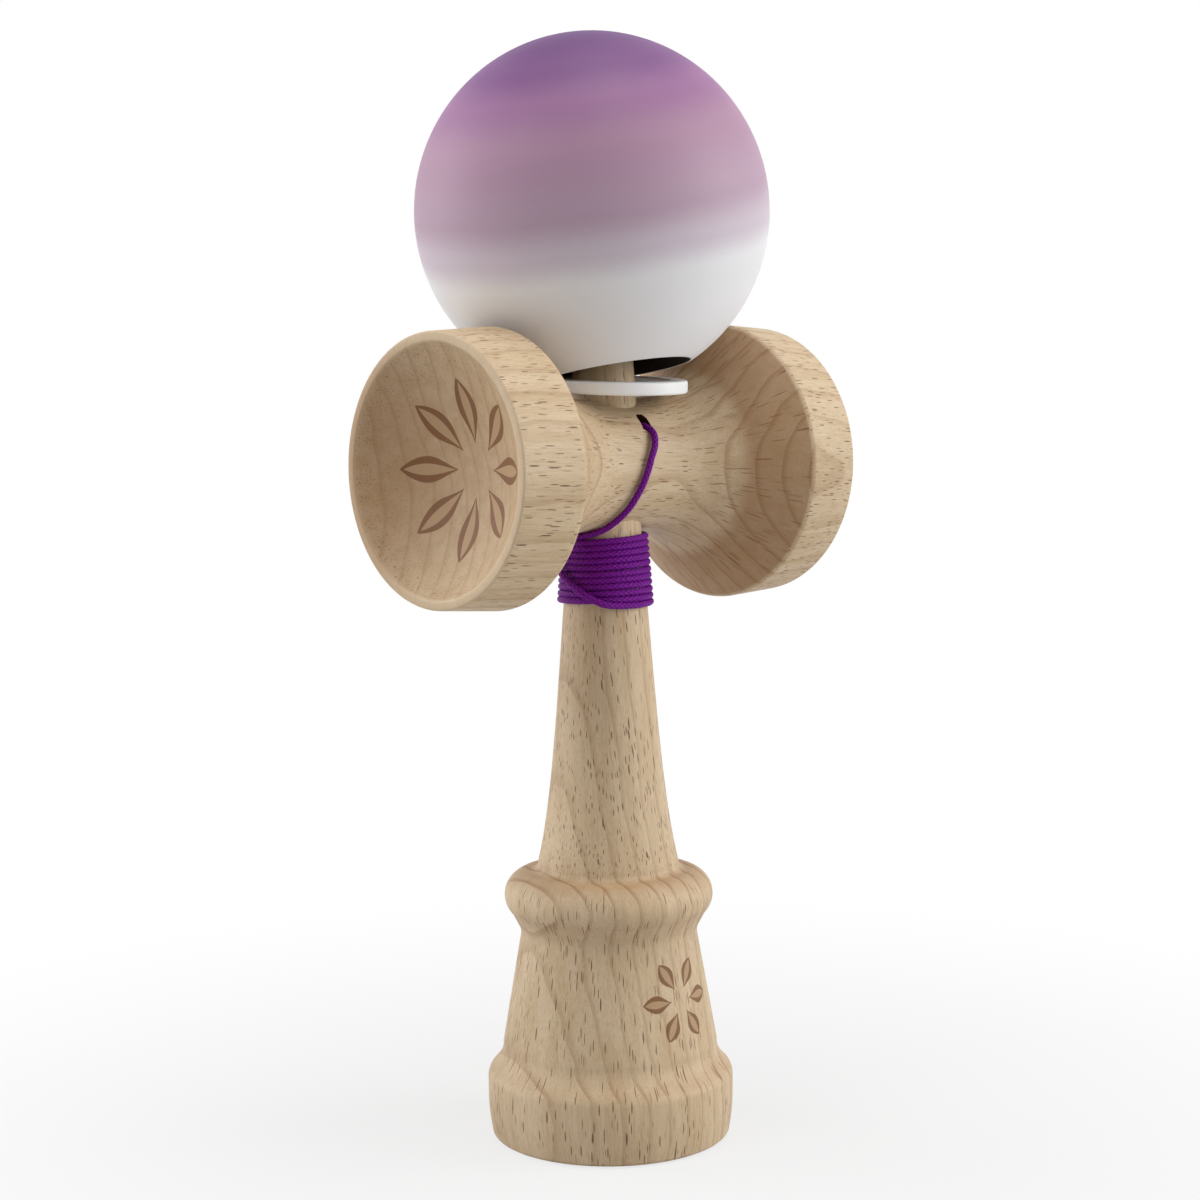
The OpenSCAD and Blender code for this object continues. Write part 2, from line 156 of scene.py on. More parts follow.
def ken_profile():
    mouth_r, mouth_depth, mouth_lip = 17.4, 8.5, 0.5
    base_r, foot_in, wide_z, base_round, foot_round = 21.4, 0.8, 7.5, 2.6, 0.8
    cone_foot, cone_top, cone_hollow = (18.65, 16.2), (15.2, 36.0), 2.1
    bead_r, bead_z, bead_round = 18.1, 42.1, 4.2

    def band(z):
        return base_r - foot_in * ((wide_z - z) / wide_z) ** 2

    points = [(r, -z) for r, z in bowl(mouth_r, mouth_depth, 0, mouth_lip)]
    points += arc(band(foot_round) - foot_round, foot_round, foot_round, -90, 0, 8)
    points += [(band(z), z) for z in (foot_round + (wide_z - foot_round) * i / 8 for i in range(1, 9))]
    points += arc(base_r - base_round, wide_z + base_round, base_round, 0, 45, 8)[1:]
    end = points[-1]
    aim_z = cone_foot[1] - cone_hollow
    points += bend(end, (end[0] + end[1] - aim_z, aim_z), cone_foot, 12)[1:]
    low = points[-1]
    points += [between(low, cone_top, i / 20) for i in range(1, 20)]
    nose = arc(bead_r - bead_round, bead_z, bead_round, -45, 90, 26)
    points += bend(points[-1], cone_top, between(cone_top, nose[0], 0.3), 6)[1:]
    points += nose
    top = points[-1]
    points += bend(top, (HANDLE_FOOT_R, top[1]), (HANDLE_FOOT_R, HANDLE_FOOT_Z), 10)[1:]
    heights = [HANDLE_FOOT_Z + (SPIKE_Z - HANDLE_FOOT_Z) * i / 60 for i in range(1, 61)]
    points += [(ken_radius(z), z) for z in heights]
    points += arc(0, KEN_H - SPIKE_TIP_R, SPIKE_TIP_R, 0, 90, 14)
    return points


def cup_profile(rim_r, back_r, back_x, bowl_r, bowl_depth):
    """Half of the sarado's profile, from the axis in the bowl to the waist."""
    short = math.tan(CUP_SLOPE) * (back_x - WAIST_FLAT) - (back_r - WAIST_R)
    arc_r = short / (1 / math.cos(CUP_SLOPE) - 1)
    points = bowl(bowl_r, bowl_depth, SARADO_HALF, CUP_LIP)
    points += arc(rim_r - RIM_ROUND, SARADO_HALF - RIM_ROUND, RIM_ROUND, 90, 0, 6)
    front = points[-1]
    flare = arc(WAIST_R + arc_r, WAIST_FLAT, arc_r, 135, 180, 26)
    edge = (back_r, back_x)
    ahead = between(edge, front, 0.05)
    points += [between(front, ahead, i / 6) for i in range(1, 6)]
    points += bend(ahead, edge, between(edge, flare[0], 0.08), 5)
    return points + flare


def sarado_profile():
    big = cup_profile(rim_r=23.8, back_r=24.4, back_x=26.9, bowl_r=22.2, bowl_depth=10.0)
    small = cup_profile(rim_r=22.4, back_r=23.26, back_x=25.6, bowl_r=20.9, bowl_depth=9.5)
    return big + [(r, -x) for r, x in reversed(small)]


def tama_profile():
    """Closed profile round the ball's own axis: outside, bevelled mouth, hole, seat and string hole."""
    mouth_r, bore_r, bore_top, bore_end, seat_r = TAMA_MOUTH_R, 10.8, 6.0, 13.0, 4.2
    hole_r, sink_r, sink_depth, soft, ease = 1.5, 3.6, 2.6, 0.35, 0.3
    top = math.degrees(math.acos((sink_r + soft) / TAMA_R))
    low = -math.degrees(math.acos((mouth_r + soft) / TAMA_R))
    outside = arc(0, 0, TAMA_R, top, low, 90)
    mouth_y = -math.sqrt(TAMA_R ** 2 - mouth_r ** 2)
    rim = bend(outside[-1], (mouth_r, mouth_y), (mouth_r - soft, mouth_y + soft), 5)[1:]
    bevel_top = mouth_y + mouth_r - bore_r
    bevel = [(bore_r + ease, bevel_top - ease), (bore_r, bevel_top + ease)]
    hole = [(bore_r, mouth_y + (bore_top - mouth_y) * i / 8) for i in range(1, 9)]
    seat = [(seat_r, bore_end), (hole_r, bore_end)]
    sink = [(hole_r, TAMA_R - sink_depth)]
    lip_y = math.sqrt(TAMA_R ** 2 - sink_r ** 2)
    lip = bend((sink_r - soft, lip_y - soft * 1.2), (sink_r, lip_y), outside[0], 5)[:-1]
    return outside + rim + bevel + hole + seat + sink + lip


# Edges that turn by more degrees than this are drawn sharp
SHARP_ANGLE = 32


def lathe(name, profile, steps, matrix, closed=False, sharp=SHARP_ANGLE):
    """A turned mesh: profile points of (radius, height) in millimetres round Z, placed by matrix."""
    mesh = bpy.data.meshes.new(name)
    verts = []
    rings = []
    for r, y in profile:
        if r < 1e-6:
            rings.append([len(verts)])
            verts.append(matrix @ Vector((0, 0, y)) * MM)
        else:
            rings.append(list(range(len(verts), len(verts) + steps)))
            for k in range(steps):
                a = 2 * math.pi * k / steps
                verts.append(matrix @ Vector((r * math.cos(a), r * math.sin(a), y)) * MM)
    pairs = list(zip(rings, rings[1:]))
    if closed:
        pairs.append((rings[-1], rings[0]))
    faces = []
    for low, high in pairs:
        for k in range(steps):
            n = (k + 1) % steps
            if len(low) == 1:
                faces.append((low[0], high[n], high[k]))
            elif len(high) == 1:
                faces.append((low[k], low[n], high[0]))
            else:
                faces.append((low[k], low[n], high[n], high[k]))
    mesh.from_pydata(verts, [], faces)
    mesh.validate()
    work = bmesh.new()
    work.from_mesh(mesh)
    bmesh.ops.recalc_face_normals(work, faces=work.faces)
    work.to_mesh(mesh)
    work.free()
    mesh.shade_smooth()
    mesh.set_sharp_from_angle(angle=math.radians(sharp))
    obj = bpy.data.objects.new(name, mesh)
    scene.collection.objects.link(obj)
    return obj


def tama_matrix():
    lean = Matrix.Rotation(TAMA_LEAN_DIR, 3, "Z") @ Matrix.Rotation(TAMA_LEAN, 3, "Y")
    turn = lean @ Matrix.Rotation(-TAMA_LEAN_DIR, 3, "Z")
    return Matrix.Translation(TAMA_CENTRE) @ turn.to_4x4()


# Faces round a turned piece
TURN_STEPS, SARADO_STEPS, SMALL_STEPS = 160, 192, 120

ken = lathe("ken_turned", ken_profile(), TURN_STEPS, Matrix.Identity(4))
sarado_turn = Matrix.Translation((0, 0, SARADO_Z)) @ Matrix.Rotation(math.radians(90), 4, "Y")
sarado = lathe("sarado_turned", sarado_profile(), SARADO_STEPS, sarado_turn)
tama = lathe("tama_painted", tama_profile(), TURN_STEPS, tama_matrix(), closed=True)


def cut(obj, tool):
    """Takes the tool's shape out of obj and deletes the tool."""
    modifier = obj.modifiers.new("cut", "BOOLEAN")
    modifier.operation = "DIFFERENCE"
    modifier.object = tool
    modifier.solver = "EXACT"
    shaped = bpy.data.meshes.new_from_object(obj.evaluated_get(bpy.context.evaluated_depsgraph_get()))
    obj.modifiers.clear()
    old = obj.data
    obj.data = shaped
    bpy.data.meshes.remove(old)
    bpy.data.objects.remove(tool)


# The sarado's tapered hole for the ken, cut with a tool that is longer than the hole
SEAT_FOOT, SEAT_TOP, SEAT_ROOM = 90.0, 142.0, 0.02
seat_foot_r = ken_radius(NECK_Z) + SEAT_TAPER * (NECK_Z - SEAT_FOOT) + SEAT_ROOM
seat_top_r = ken_radius(SEAT_TOP) + SEAT_ROOM
seat_profile = [(0, SEAT_FOOT), (seat_foot_r, SEAT_FOOT), (seat_top_r, SEAT_TOP), (0, SEAT_TOP)]
cut(sarado, lathe("seat_tool", seat_profile, SMALL_STEPS, Matrix.Identity(4)))

# The drilled string hole, its mouth torn upwards
HOLE_SIDES, HOLE_START, HOLE_END = 20, -1, 9.8
TORN_FROM, TORN_FULL = 5.6, 8.6
HOLE_WALL = [
    (0.85, HOLE_START), (0.85, TORN_FROM), (0.95, 6.4), (1.05, 7.4), (1.15, TORN_FULL), (1.3, HOLE_END),
]
hole_place = Matrix.Translation((STRING_HOLE_X, 0, STRING_HOLE_Z))
hole_turn = hole_place @ Matrix.Rotation(math.radians(90), 4, "X")
hole_outline = [(0, HOLE_START)] + HOLE_WALL + [(0, HOLE_END)]
hole_tool = lathe("hole_tool", hole_outline, HOLE_SIDES, hole_turn)
random.seed(7)
for side in range(HOLE_SIDES):
    upper = 0 < side < HOLE_SIDES / 2
    sideways = random.uniform(-0.15, 0.15)
    lift = random.uniform(0.9, 1.9) if upper else random.uniform(-0.1, 0.1)
    for row, (_, depth) in enumerate(HOLE_WALL):
        share = max(0.0, (depth - TORN_FROM) / (TORN_FULL - TORN_FROM))
        vertex = hole_tool.data.vertices[1 + row * HOLE_SIDES + side]
        vertex.co += Vector((sideways, 0, lift)) * share * MM
cut(sarado, hole_tool)
sarado.data.shade_smooth()
sarado.data.set_sharp_from_angle(angle=math.radians(SHARP_ANGLE))


# The loose ring, with softly rounded edges

RING_CENTRE = Vector((0.8, -2.6, 128.909))
RING_OUT, RING_IN, RING_T, RING_ROUND = 12.0, 8.7, 2.2, 0.45
RING_LEAN_Y, RING_LEAN_X = math.radians(-1.1), math.radians(3.8)
RING_SHARP = 60


def ring_profile():
    low, high = RING_ROUND, RING_T - RING_ROUND
    points = arc(RING_OUT - RING_ROUND, high, RING_ROUND, 0, 90, 6)
    points += arc(RING_IN + RING_ROUND, high, RING_ROUND, 90, 180, 6)
    points += arc(RING_IN + RING_ROUND, low, RING_ROUND, 180, 270, 6)
    points += arc(RING_OUT - RING_ROUND, low, RING_ROUND, 270, 360, 6)
    return points


ring_turn = Matrix.Rotation(RING_LEAN_Y, 4, "Y") @ Matrix.Rotation(RING_LEAN_X, 4, "X")
ring_place = Matrix.Translation(RING_CENTRE) @ ring_turn
ring = lathe("ring_washer", ring_profile(), SMALL_STEPS, ring_place, closed=True, sharp=RING_SHARP)


# The string: one braided cord from the knot in the ken to the knot in the ball

CORD_D, CORD_SIDES, CORD_STEP = 1.14, 12, 0.55
WIND_TURNS, WIND_PITCH, WIND_TOP_Z = 10.8, 1.1, 104.7
WIND_START, WIND_STEPS = 190.0, 24
# The upper turns lie a little aslant, and none of them quite evenly
WIND_SLANT, WIND_SLANT_DIR, WIND_UNEVEN = 0.3, math.radians(43), 0.05
CORD_LIE = 0.02
BRAID_STRANDS, BRAID_PERIOD, BRAID_SWELL = 4, 1.5, 0.05
KNOT_Y, KNOT_IN_BALL = 3.8, 6.2
KNOT_SIZE, KNOT_DEEP, KNOT_THIN = 0.31, 1.2, 0.9
KNOT_STEPS, KNOT_SIDES = 96, 10
IN_HOLE = [(2.3, 0.0), (-1.5, 0.0), (-5.0, -0.1), (-8.3, -0.4)]
FRONT_RUN = [
    (1.8, -9.6, 6.05), (1.65, -10.6, 5.3), (1.2, -11.3, 4.2), (0.6, -11.75, 2.9), (-0.2, -11.95, 1.6),
    (-0.85, -12, 0), (-1.5, -11.9, -1.6), (-2.15, -11.55, -3.3), (-2.8, -10.95, -4.95),
    (-3.45, -9.95, -6.75), (-4.2, -8.6, -8.4), (-5, -6.8, -9.9), (-5.9, -4.9, -11),
]
BACK_RUN = [
    (-5.9, -6.4, -23.3), (-7.4, -5, -22.5), (-8.5, -3, -21.2), (-8.9, -0.4, -19.6),
    (-8.5, 2.4, -17.6), (-7.2, 5.2, -15.2), (-5.6, 7.6, -12.6), (-4, 9.6, -9.6), (-2.6, 11, -6.2),
    (-1.6, 11.9, -2.4), (-1.2, 12.8, 1.6), (-0.9, 15.4, 6), (-0.8, 18.2, 10.4), (-0.6, 21, 14.8),
    (-0.5, 23.8, 19.2), (-0.4, 26.6, 23.6),
]
# Directions over the back of the ball, from its centre
OVER_BALL = [
    (0.1, 27.1, -15.4), (0.1, 29.3, -10.7), (0, 30.7, -5.4), (-0.1, 31.2, 0), (-0.2, 30.8, 4.9),
    (-0.4, 29.7, 9.6), (-0.6, 27.8, 14.2), (-0.8, 25.2, 18.3), (-1, 22.1, 22.1), (-1.1, 18.4, 25.2),
    (-1.2, 14.6, 27.6),
]
# Over the countersink's lip and down the string hole: distance behind the ball's axis, height along it
INTO_BALL = [
    (7.1, 30.03), (5.3, 30.4), (4.2, 30.55), (3.3, 30.5), (2.4, 30.15), (1.65, 29.5), (1.15, 28.7),
    (0.9, 27.8), (0.7, 26.7), (0.3, 24.2), (0.0, 21.2), (0.0, 17.0), (0.0, 12.0), (0.0, 7.6),
]
ON_BALL_R = TAMA_R + CORD_D / 2 + 2 * CORD_LIE


def wind_point(turn):
    angle = math.radians(WIND_START - 360 * turn)
    slant = WIND_SLANT * (1 - turn / WIND_TURNS) * math.cos(angle + WIND_SLANT_DIR)
    uneven = WIND_UNEVEN * math.sin(2.3 * turn + 3 * math.sin(0.9 * turn))
    z = WIND_TOP_Z - WIND_PITCH * turn + slant + uneven
    r = ken_radius(z) + CORD_D / 2 + CORD_LIE
    return Vector((r * math.cos(angle), r * math.sin(angle), z))


def string_points():
    points = [Vector((STRING_HOLE_X, y, STRING_HOLE_Z + drop)) for y, drop in IN_HOLE]
    points += [Vector(p) + Vector((0, 0, SARADO_Z)) for p in FRONT_RUN]
    count = round(WIND_TURNS * WIND_STEPS)
    points += [wind_point(i / WIND_STEPS) for i in range(count + 1)]
    points += [Vector(p) + Vector((0, 0, SARADO_Z)) for p in BACK_RUN]
    points += [TAMA_CENTRE + Vector(p).normalized() * ON_BALL_R for p in OVER_BALL]
    behind = Vector((0, 1, 0))
    behind = (behind - TAMA_AXIS * behind.dot(TAMA_AXIS)).normalized()
    points += [TAMA_CENTRE + behind * d + TAMA_AXIS * h for d, h in INTO_BALL]
    return points


def smooth_line(points, step):
    """A smooth line through the points, with its own points about step apart."""
    out = []
    padded = [points[0] * 2 - points[1]] + points + [points[-1] * 2 - points[-2]]
    for a, b, c, d in zip(padded, padded[1:], padded[2:], padded[3:]):
        times = [0.0]
        for p, q in ((a, b), (b, c), (c, d)):
            times.append(times[-1] + max((q - p).length, 1e-6) ** 0.5)
        pieces = max(2, math.ceil((c - b).length / step))
        for i in range(pieces):
            t = times[1] + (times[2] - times[1]) * i / pieces

            def mix(p, q, u, v):
                return p * ((v - t) / (v - u)) + q * ((t - u) / (v - u))

            ab = mix(a, b, times[0], times[1])
            bc = mix(b, c, times[1], times[2])
            cd = mix(c, d, times[2], times[3])
            abc = mix(ab, bc, times[0], times[2])
            bcd = mix(bc, cd, times[1], times[3])
            out.append(mix(abc, bcd, times[1], times[2]))
    out.append(points[-1])
    return out


def tube(name, line, r, sides, braid=0.0):
    """A closed tube along a line, in millimetres, with its length in mm and its turn in its UV map."""
    mesh = bpy.data.meshes.new(name)
    verts = []
    lengths = [0.0]
    side = Vector((0.3, 0.2, 1))
    for i, p in enumerate(line):
        along = (line[min(i + 1, len(line) - 1)] - line[max(i - 1, 0)]).normalized()
        side = (side - along * side.dot(along)).normalized()
        other = along.cross(side)
        if i:
            lengths.append(lengths[-1] + (p - line[i - 1]).length)
        for k in range(sides):
            a = 2 * math.pi * k / sides
            wave = math.cos(2 * math.pi * lengths[-1] / BRAID_PERIOD)
            swell = 1 + braid * math.cos(BRAID_STRANDS * a) * wave
            verts.append((p + r * swell * (math.cos(a) * side + math.sin(a) * other)) * MM)
    faces = []
    uvs = []
    for i in range(len(line) - 1):
        for k in range(sides):
            n = (k + 1) % sides
            faces.append((i * sides + k, i * sides + n, (i + 1) * sides + n, (i + 1) * sides + k))
            uvs += [(k / sides, lengths[i]), ((k + 1) / sides, lengths[i]),
                    ((k + 1) / sides, lengths[i + 1]), (k / sides, lengths[i + 1])]
    last = (len(line) - 1) * sides
    faces.append(tuple(reversed(range(sides))))
    faces.append(tuple(last + k for k in range(sides)))
    uvs += [(0.5, 0.0)] * sides + [(0.5, lengths[-1])] * sides
    mesh.from_pydata(verts, [], faces)
    layer = mesh.uv_layers.new(name="UVMap")
    for loop, uv in zip(layer.data, uvs):
        loop.uv = uv
    mesh.validate()
    mesh.shade_smooth()
    obj = bpy.data.objects.new(name, mesh)
    scene.collection.objects.link(obj)
    return obj, lengths[-1]


STRING_LINE = smooth_line(string_points(), CORD_STEP)
string, STRING_LENGTH = tube("string_cord", STRING_LINE, CORD_D / 2, CORD_SIDES, braid=BRAID_SWELL)


def knot(name, centre, axis, size):
    """A small overhand knot: a closed three-lobed loop of the cord, with its through-line along axis."""
    turn = axis.to_track_quat("Z", "Y")
    line = []
    for i in range(KNOT_STEPS + 1):
        t = 2 * math.pi * i / KNOT_STEPS
        x = math.sin(t) + 2 * math.sin(2 * t)
        y = math.cos(t) - 2 * math.cos(2 * t)
        z = -math.sin(3 * t)
        line.append(centre + turn @ (Vector((x, y, z * KNOT_DEEP)) * size))
    return tube(name, line, CORD_D / 2 * KNOT_THIN, KNOT_SIDES)[0]


anchor_place = Vector((STRING_HOLE_X, KNOT_Y, STRING_HOLE_Z))
anchor_knot = knot("string_knot_in_ken", anchor_place, Vector((0, 1, 0)), KNOT_SIZE)
stopper_knot = knot("string_knot_in_ball", TAMA_CENTRE + TAMA_AXIS * KNOT_IN_BALL, TAMA_AXIS, KNOT_SIZE)


# Node helpers: a socket wrapped so that formulas can be written plainly

class Sum:
    def __init__(self, tree, socket):
        self.tree = tree
        self.socket = socket

    def op(self, kind, *others):
        node = self.tree.nodes.new("ShaderNodeMath")
        node.operation = kind
        self.tree.links.new(self.socket, node.inputs[0])
        for i, other in enumerate(others, 1):
            if isinstance(other, Sum):
                self.tree.links.new(other.socket, node.inputs[i])
            else:
                node.inputs[i].default_value = other
        return Sum(self.tree, node.outputs[0])

    def __add__(self, other):
        return self.op("ADD", other)

    def __sub__(self, other):
        return self.op("SUBTRACT", other)

    def __mul__(self, other):
        return self.op("MULTIPLY", other)

    def __truediv__(self, other):
        return self.op("DIVIDE", other)

    def smooth(self, low, high, start=0.0, stop=1.0):
        node = self.tree.nodes.new("ShaderNodeMapRange")
        node.interpolation_type = "SMOOTHSTEP"
        self.tree.links.new(self.socket, node.inputs["Value"])
        node.inputs["From Min"].default_value = low
        node.inputs["From Max"].default_value = high
        node.inputs["To Min"].default_value = start
        node.inputs["To Max"].default_value = stop
        return Sum(self.tree, node.outputs["Result"])


class Paint:
    """A material's node tree with the few nodes that these materials need."""

    def __init__(self, name):
        self.material = bpy.data.materials.new(name)
        self.material.use_nodes = True
        self.tree = self.material.node_tree
        self.shader = self.tree.nodes["Principled BSDF"]

    def node(self, kind, **values):
        made = self.tree.nodes.new(kind)
        for key, value in values.items():
            setattr(made, key, value)
        return made

    def place(self):
        """Object coordinates in millimetres, as three sums."""
        coords = self.node("ShaderNodeTexCoord")
        parts = self.node("ShaderNodeSeparateXYZ")
        self.tree.links.new(coords.outputs["Object"], parts.inputs[0])
        return [Sum(self.tree, parts.outputs[i]) * (1 / MM) for i in range(3)]

    def facing(self, axis):
        """The square of the surface normal's part along one axis: 1 where the surface faces along it."""
        normal = self.node("ShaderNodeNewGeometry").outputs["Normal"]
        parts = self.node("ShaderNodeSeparateXYZ")
        self.tree.links.new(normal, parts.inputs[0])
        part = Sum(self.tree, parts.outputs[axis])
        return part * part

    def vector(self, x, y, z):
        made = self.node("ShaderNodeCombineXYZ")
        for value, socket in zip((x, y, z), made.inputs):
            self.tree.links.new(value.socket, socket)
        return made.outputs[0]

    def noise(self, vector, detail=2.0, rough=0.5):
        made = self.node("ShaderNodeTexNoise")
        made.inputs["Scale"].default_value = 1.0
        made.inputs["Detail"].default_value = detail
        made.inputs["Roughness"].default_value = rough
        self.tree.links.new(vector, made.inputs["Vector"])
        return Sum(self.tree, made.outputs["Fac"])

    def cells(self, vector):
        """Distance to the nearest cell point, and a random number for that cell."""
        made = self.node("ShaderNodeTexVoronoi")
        made.inputs["Scale"].default_value = 1.0
        self.tree.links.new(vector, made.inputs["Vector"])
        parts = self.node("ShaderNodeSeparateColor")
        self.tree.links.new(made.outputs["Color"], parts.inputs[0])
        return Sum(self.tree, made.outputs["Distance"]), Sum(self.tree, parts.outputs[0])

    def blend(self, factor, low, high):
        made = self.node("ShaderNodeMix", data_type="RGBA", blend_type="MIX")
        if isinstance(factor, Sum):
            self.tree.links.new(factor.socket, made.inputs["Factor"])
        else:
            made.inputs["Factor"].default_value = factor
        for value, name in ((low, "A"), (high, "B")):
            socket = [s for s in made.inputs if s.name == name and s.type == "RGBA"][0]
            if isinstance(value, bpy.types.NodeSocket):
                self.tree.links.new(value, socket)
            else:
                socket.default_value = (*value, 1.0)
        return [s for s in made.outputs if s.type == "RGBA"][0]

    def ramp(self, factor, stops):
        made = self.node("ShaderNodeValToRGB")
        made.color_ramp.interpolation = "EASE"
        marks = made.color_ramp.elements
        while len(marks) < len(stops):
            marks.new(0.5)
        for mark, (where, colour) in zip(marks, stops):
            mark.position = where
            mark.color = (*colour, 1.0)
        self.tree.links.new(factor.socket, made.inputs[0])
        return made.outputs["Color"]

    def bump(self, height, strength, distance):
        made = self.node("ShaderNodeBump")
        made.inputs["Strength"].default_value = strength
        made.inputs["Distance"].default_value = distance
        self.tree.links.new(height.socket, made.inputs["Height"])
        self.tree.links.new(made.outputs["Normal"], self.shader.inputs["Normal"])

    def set(self, **values):
        for name, value in values.items():
            socket = self.shader.inputs[name.replace("_", " ")]
            if isinstance(value, Sum):
                self.tree.links.new(value.socket, socket)
            elif isinstance(value, bpy.types.NodeSocket):
                self.tree.links.new(value, socket)
            else:
                socket.default_value = value


def srgb(*values):
    """Linear colour of an 8-bit sRGB colour."""
    out = []
    for value in values:
        c = value / 255
        out.append(c / 12.92 if c <= 0.04045 else ((c + 0.055) / 1.055) ** 2.4)
    return tuple(out)


RING_SPACING = 3.6
NEEDLE_W, NEEDLE_L = 0.38, 4.0
DASH_W, DASH_L = 0.95, 8.0
# On sloped turned faces the flecks follow the face, laid out round this radius
FLECK_R = 18.0
FLARE_FROM, FLARE_TO = 9.0, 26.5


def growth(paint, along, across, over, pith):
    """Growth rings round the pith: their thin dark lines, and the latewood that leads up to each."""
    wide = paint.noise(paint.vector(along * 0.018, across * 0.03, over * 0.03), 1.0)
    wave = paint.noise(paint.vector(along * 0.07, across * 0.09, over * 0.09 + 7.0), 2.0)
    aside = across - pith[0] + (wide - 0.5) * 9.0 + (wave - 0.5) * 2.2
    above = over - pith[1] + (wave - 0.5) * 2.0
    radius = (aside * aside + above * above).op("SQRT")
    phase = (radius / RING_SPACING + (wide - 0.5) * 0.8).op("FRACT")
    edge = phase.smooth(0.95, 1.0, 1.0, 0.0)
    return phase.smooth(0.72, 0.95) * edge, phase.smooth(0.2, 0.95) * edge


def flecks(paint, along, across, over):
    """Short dark flecks along the grain: many fine needles, and fewer and longer dashes."""
    small, luck = paint.cells(paint.vector(across / NEEDLE_W, over / NEEDLE_W, along / NEEDLE_L))
    needle = small.smooth(0.2, 0.31, 1.0, 0.0) * luck.smooth(0.2, 0.75)
    large, chance = paint.cells(paint.vector(across / DASH_W, over / DASH_W, along / DASH_L + 5.0))
    dash = large.smooth(0.11, 0.17, 1.0, 0.0) * chance.smooth(0.35, 0.7)
    return needle, dash


def cup_painted_light(paint, colour, x, y, end):
    """The sarado's rims made paler as a painted highlight, and painted shade darkening the end grain of the
    big cup's flare and the small bowl's far wall.
    """
    # Painted highlight: the rim lands of both cups are made paler
    rim_highlight = x.op("ABSOLUTE").smooth(SARADO_HALF - 0.5, SARADO_HALF - 0.1)
    colour = paint.blend(rim_highlight * 0.6, colour, srgb(220, 197, 164))
    # Painted shade: the end grain of the small bowl's far wall and of the big cup's flare made darker
    far_wall_shade = y.smooth(2.0, 18.0) * x.smooth(-26.0, -28.0)
    flare = x.smooth(6.0, 14.0) * x.smooth(27.6, 27.0)
    painted_shade = end.smooth(0.32, 0.52) * (flare + far_wall_shade * 0.7)
    return paint.blend(painted_shade * 0.55, colour, srgb(146, 98, 48))


def beech(name, grain, pith, tilt, motif=None, shade=None):
    """Pale beech in the round: thin growth lines about a pith, needle-like flecks and fine streaks.
    grain is 0 or 2, the axis of the grain; pith is where the pith line lies across it, in millimetres;
    shade is a dark colour that covers it as painted shade, as in a hole."""
    paint = Paint(name)
    x, y, z = paint.place()
    if grain == 0:
        along, across, over = x, y, z - SARADO_Z
        reach = x.op("ABSOLUTE")
        turn = y.op("ARCTAN2", z - SARADO_Z)
        sloped = reach.op("GREATER_THAN", FLARE_FROM) * reach.op("LESS_THAN", FLARE_TO)
    else:
        along, across, over = z, x, y
        turn = x.op("ARCTAN2", y * -1.0)
        sloped = z.op("LESS_THAN", HANDLE_FOOT_Z)
    across = across + along * tilt[0]
    over = over + along * tilt[1]
    straight = sloped * -1.0 + 1.0
    end = paint.facing(grain)
    flank = end.smooth(0.35, 0.85, 1.0, 0.25)
    line, late = growth(paint, along, across, over, pith)
    fibre = paint.noise(paint.vector(along * 0.22, across * 4.5, over * 4.5), 2.0, 0.6)
    streak = paint.noise(paint.vector(along * 0.03, across * 0.4, over * 0.4 + 3.0), 2.0)
    grit = paint.noise(paint.vector(along * 2.4, across * 3.4, over * 3.4), 1.0)
    needle, dash = flecks(paint, along, turn * FLECK_R * sloped + across * straight, over * straight)
    colour = paint.blend(streak.smooth(0.3, 0.7), srgb(214, 191, 158), srgb(201, 175, 139))
    colour = paint.blend(late * 0.1, colour, srgb(172, 138, 99))
    colour = paint.blend(line * (end * sloped * 0.6 + 0.3), colour, srgb(150, 112, 74))
    colour = paint.blend(fibre.smooth(0.5, 0.72) * 0.4, colour, srgb(172, 141, 104))
    colour = paint.blend(fibre.smooth(0.5, 0.3) * 0.22, colour, srgb(228, 210, 180))
    colour = paint.blend(grit.smooth(0.55, 0.75) * 0.22, colour, srgb(160, 128, 92))
    colour = paint.blend(needle * flank * 0.88, colour, srgb(112, 76, 45))
    colour = paint.blend(dash * flank * 0.9, colour, srgb(96, 60, 33))
    colour = paint.blend(end * 0.42, colour, srgb(150, 108, 66))
    if grain == 0:
        colour = cup_painted_light(paint, colour, x, y, end)
    # Painted shade: one dark colour over the whole surface, as shade inside a hole
    if shade:
        colour = paint.blend(0.98, colour, shade)
    if motif:
        mark, heart = motif(x, y, z)
        colour = paint.blend(mark * 0.9, colour, srgb(110, 62, 8))
        colour = paint.blend(heart * 0.75, colour, srgb(190, 158, 120))
    paint.set(Base_Color=colour, Roughness=fibre * 0.16 + 0.5)
    paint.set(Specular_IOR_Level=0.05 if shade else 0.48)
    paint.bump(fibre * 0.4 - needle * 0.4 - dash * 0.6, 0.3, 0.0001)
    return paint.material


BOWL_MARK_R, BOWL_MARK_REACH = 15.0, 17.0
CONE_MARK_R, CONE_MARK_Z, CONE_MARK_DIR = 7.5, 26.0, math.radians(-88)
PETAL_FROM, PETAL_WIDTH = 0.28, 3.2


def petals(right, up, count, reach):
    """A ring of plain lens-shaped petals: the burnt outlines and the lighter hearts in them."""
    distance = (right * right + up * up).op("SQRT") / reach
    angle = up.op("ARCTAN2", right) * (count / 2)
    side = angle.op("SINE").op("ABSOLUTE")
    run = (distance - PETAL_FROM) / (1 - PETAL_FROM)
    leaf = run * (run * -1.0 + 1.0) * PETAL_WIDTH
    return (leaf - side).smooth(0.0, 0.05), (leaf * 0.62 - 0.1 - side).smooth(0.0, 0.05)


